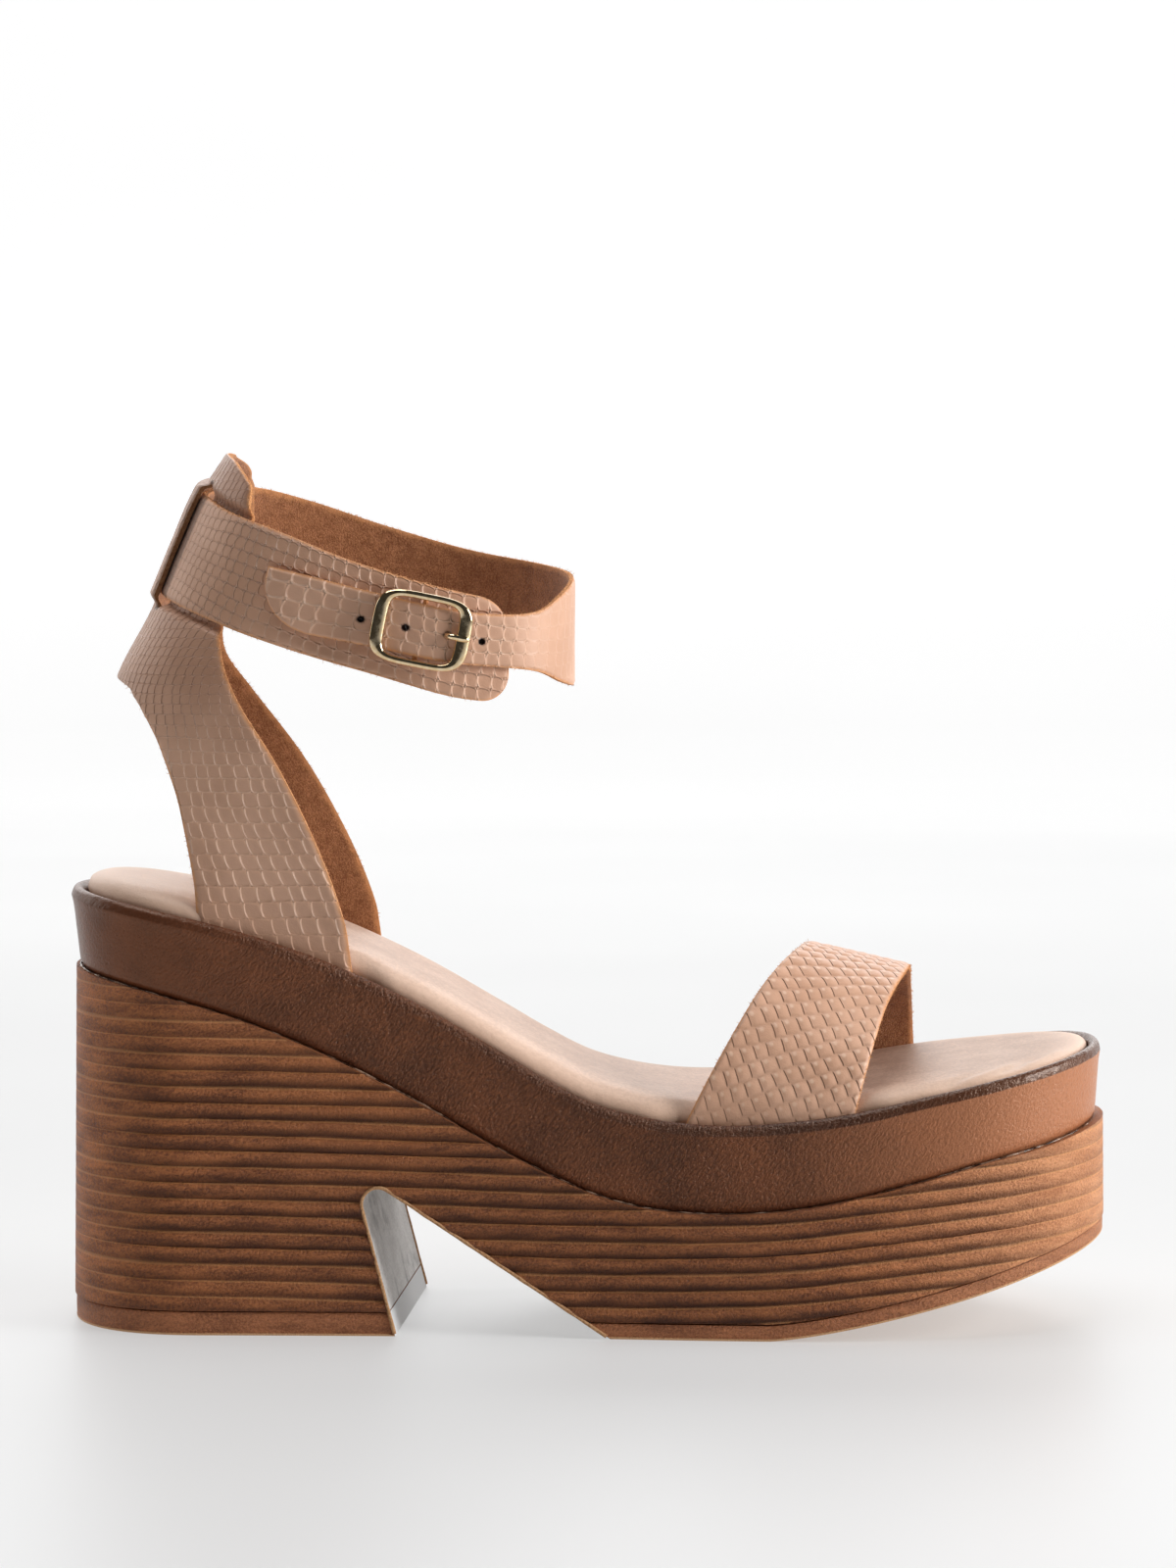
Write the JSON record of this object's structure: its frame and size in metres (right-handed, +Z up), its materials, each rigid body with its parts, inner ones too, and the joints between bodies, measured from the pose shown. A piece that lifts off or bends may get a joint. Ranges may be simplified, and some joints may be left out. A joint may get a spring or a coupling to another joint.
{
  "type": "platform sandal",
  "caption": "Right-foot platform sandal with a notched block heel, a toe band, an open-backed counter and a buckled ankle strap, standing empty on its sole.",
  "frame": {"origin": "middle of the sole's bounding box, on the floor that heel and forefoot stand on", "axes": "+X to the toe, -Y to the outer side with the buckle, +Y to the inner side, +Z up"},
  "size_m": [0.2399, 0.0828, 0.2],
  "materials": {
    "heel_top_piece": "matte moulded rubber",
    "forefoot_outsole": "matte moulded rubber",
    "sole_block": "stacked layers, burnished brown, satin",
    "platform_wrap": "burnished dark brown fine grain, satin",
    "footbed": "pale pink-beige grain over a thin pad, satin",
    "toe_strap": "nude tan with an embossed scale grain",
    "heel_counter": "nude tan with an embossed scale grain",
    "ankle_strap": "nude tan with an embossed scale grain",
    "buckle_frame": "polished pale gold plate",
    "buckle_prong": "polished pale gold plate"
  },
  "bodies": {
    "root": {"heel_top_piece": "heel_top_piece", "forefoot_outsole": "forefoot_outsole", "sole_block": "sole_block", "platform_wrap": "platform_wrap", "footbed": "footbed", "toe_strap": "toe_strap", "heel_counter": "heel_counter", "ankle_strap": "ankle_strap", "buckle_frame": "buckle_frame", "buckle_prong": "buckle_prong"}
  },
  "joints": []
}
